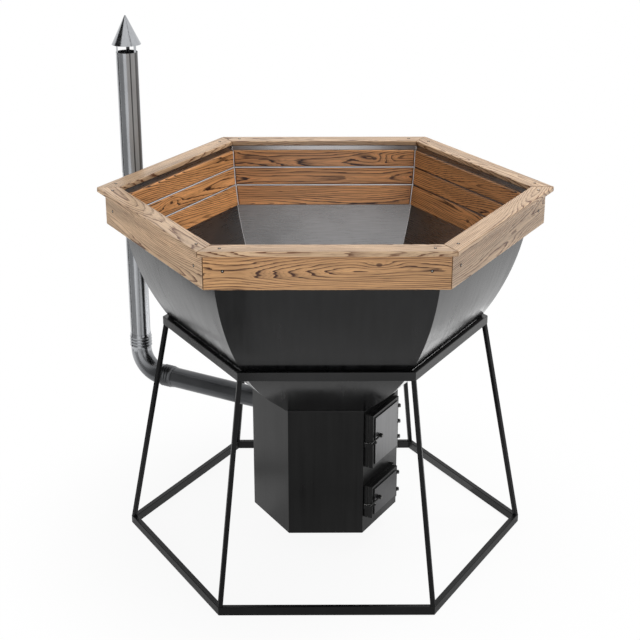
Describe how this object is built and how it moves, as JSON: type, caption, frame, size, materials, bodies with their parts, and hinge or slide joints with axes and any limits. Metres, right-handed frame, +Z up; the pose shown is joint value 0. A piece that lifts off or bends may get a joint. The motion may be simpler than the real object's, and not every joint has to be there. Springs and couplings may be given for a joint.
{
  "type": "wood-fired bathing vat",
  "caption": "Six-sided steel bathing vat with a timber rim and backrests on a tubular stand, with a stove hung below, hinged stove doors, a side chimney and a drain valve.",
  "frame": {"origin": "on the floor under the middle of the bowl", "axes": "+Z up along the bowl's axis and the chimney; the front wall faces -Y, so the back wall faces +Y and +X is to the right; the stove doors face between +X and -Y"},
  "size_m": [1.9996, 1.732, 2.325],
  "materials": {
    "rim_wood": "oiled, strong dark grain",
    "backrest_wood": "oiled, warm brown",
    "floor_wood": "oiled",
    "bowl_steel": "satin dark grey",
    "stand_black": "satin black",
    "stove_black": "heat-proof satin black",
    "grate_iron": "as cast",
    "seal_rope": "woven glass rope",
    "flue_steel": "bright stainless",
    "screw_steel": "bright",
    "latch_steel": "plain",
    "drain_brass": "plain",
    "drain_chrome": "polished",
    "lever_paint": "dipped"
  },
  "bodies": {
    "vat": {"bowl_panel_front": "bowl_steel", "cap_board_front": "rim_wood", "fascia_board_front": "rim_wood", "backrest_front": "backrest_wood", "bowl_panel_front_right": "bowl_steel", "cap_board_front_right": "rim_wood", "fascia_board_front_right": "rim_wood", "backrest_front_right": "backrest_wood", "bowl_panel_back_right": "bowl_steel", "cap_board_back_right": "rim_wood", "fascia_board_back_right": "rim_wood", "backrest_back_right": "backrest_wood", "bowl_panel_back": "bowl_steel", "cap_board_back": "rim_wood", "fascia_board_back": "rim_wood", "backrest_back": "backrest_wood", "bowl_panel_back_left": "bowl_steel", "cap_board_back_left": "rim_wood", "fascia_board_back_left": "rim_wood", "backrest_back_left": "backrest_wood", "bowl_panel_front_left": "bowl_steel", "cap_board_front_left": "rim_wood", "fascia_board_front_left": "rim_wood", "backrest_front_left": "backrest_wood", "bowl_floor": "bowl_steel", "rim_screws": "screw_steel", "base_rails": "stand_black", "ring_rails": "stand_black", "legs": "stand_black", "stove_shell": "stove_black", "stove_bottom": "stove_black", "fire_grate": "grate_iron", "grate_ledges": "grate_iron", "fire_door_frame": "stove_black", "fire_hinge_pins": "latch_steel", "fire_keeper": "latch_steel", "ash_door_frame": "stove_black", "ash_hinge_pins": "latch_steel", "ash_keeper": "latch_steel", "flue_collar": "flue_steel", "flue_pipe": "flue_steel", "chimney_lower": "flue_steel", "chimney_upper": "flue_steel", "chimney_hood": "flue_steel", "hood_straps": "flue_steel", "drain_nipple": "drain_brass", "drain_valve_body": "drain_brass", "floor_grate": "floor_wood"},
    "fire_door": {"fire_door": "stove_black", "fire_door_seal": "seal_rope", "fire_latch_bolt": "latch_steel"},
    "fire_latch": {"fire_latch": "stove_black"},
    "ash_door": {"ash_door": "stove_black", "ash_door_seal": "seal_rope", "ash_latch_bolt": "latch_steel"},
    "ash_latch": {"ash_latch": "stove_black"},
    "drain_handle": {"drain_plug": "drain_chrome", "drain_lever": "lever_paint"}
  },
  "joints": [
    {"name": "fire_door_hinge", "type": "hinge", "parent": "vat", "child": "fire_door", "pos_m": [0.33906, -0.07913, 0.57381], "axis": [0, 0, 1], "range_deg": [0, 110]},
    {"name": "fire_latch_pivot", "type": "hinge", "parent": "fire_door", "child": "fire_latch", "pos_m": [0.24758, -0.26418, 0.59201], "axis": [-0.866, 0.5, 0], "range_deg": [0, 70]},
    {"name": "ash_door_hinge", "type": "hinge", "parent": "vat", "child": "ash_door", "pos_m": [0.33906, -0.07913, 0.26797], "axis": [0, 0, 1], "range_deg": [0, 110]},
    {"name": "ash_latch_pivot", "type": "hinge", "parent": "ash_door", "child": "ash_latch", "pos_m": [0.24758, -0.26418, 0.27914], "axis": [-0.866, 0.5, 0], "range_deg": [0, 70]},
    {"name": "drain_turn", "type": "hinge", "parent": "vat", "child": "drain_handle", "pos_m": [0, 0.37408, 0.69973], "axis": [-1, 0, 0], "range_deg": [0, 90]}
  ]
}
